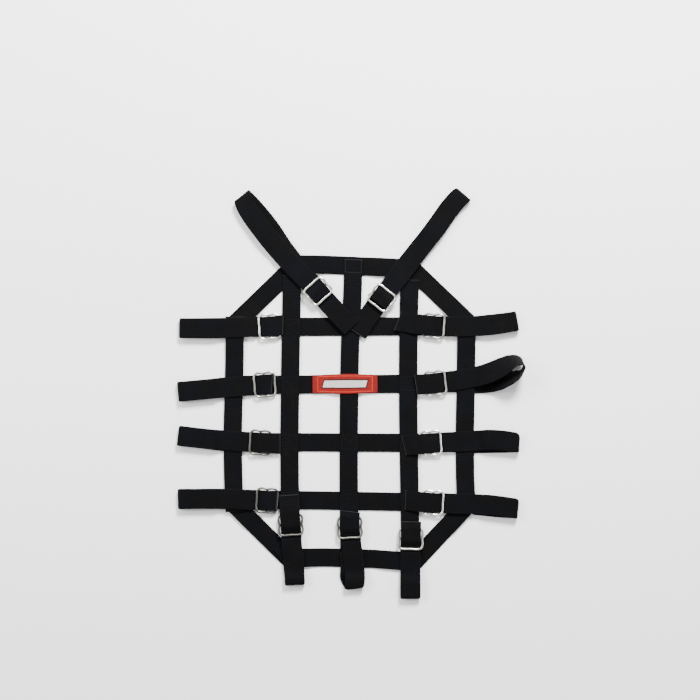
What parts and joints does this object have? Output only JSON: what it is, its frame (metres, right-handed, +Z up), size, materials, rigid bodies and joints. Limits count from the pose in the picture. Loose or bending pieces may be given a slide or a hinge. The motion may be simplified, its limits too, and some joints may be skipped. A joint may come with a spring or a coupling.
{
  "type": "roll cage net",
  "caption": "Window net for a roll cage: a grid of flat black webbing with straps whose ends fold into loops, each held by a wire slide.",
  "frame": {"origin": "under the middle of the outline, on the surface that the net lies on", "axes": "+Z up, away from the surface; +Y towards the two shoulder loops, the longest way; +X to the right as the label faces the viewer"},
  "size_m": [0.4675, 0.5539, 0.0309],
  "materials": {
    "webbing": "woven black polyester webbing",
    "wire": "nickel plated wire",
    "label": "woven red patch"
  },
  "bodies": {
    "root": {"row_1": "webbing", "row_2": "webbing", "row_3": "webbing", "row_4": "webbing", "side_left": "webbing", "side_right": "webbing", "upright_left": "webbing", "upright_centre": "webbing", "upright_right": "webbing", "top_band": "webbing", "bottom_band": "webbing", "diagonal_top_left": "webbing", "diagonal_top_right": "webbing", "diagonal_bottom_left": "webbing", "diagonal_bottom_right": "webbing", "loop_left_1": "webbing", "loop_left_2": "webbing", "loop_left_3": "webbing", "loop_left_4": "webbing", "loop_right_1": "webbing", "loop_right_2": "webbing", "loop_right_3": "webbing", "loop_right_4": "webbing", "loop_bottom_1": "webbing", "loop_bottom_2": "webbing", "loop_bottom_3": "webbing", "shoulder_left": "webbing", "shoulder_right": "webbing", "slide_left_1": "wire", "slide_left_2": "wire", "slide_left_3": "wire", "slide_left_4": "wire", "slide_right_1": "wire", "slide_right_2": "wire", "slide_right_3": "wire", "slide_right_4": "wire", "slide_bottom_1": "wire", "slide_bottom_2": "wire", "slide_bottom_3": "wire", "slide_shoulder_left": "wire", "slide_shoulder_right": "wire", "label": "label"}
  },
  "joints": []
}
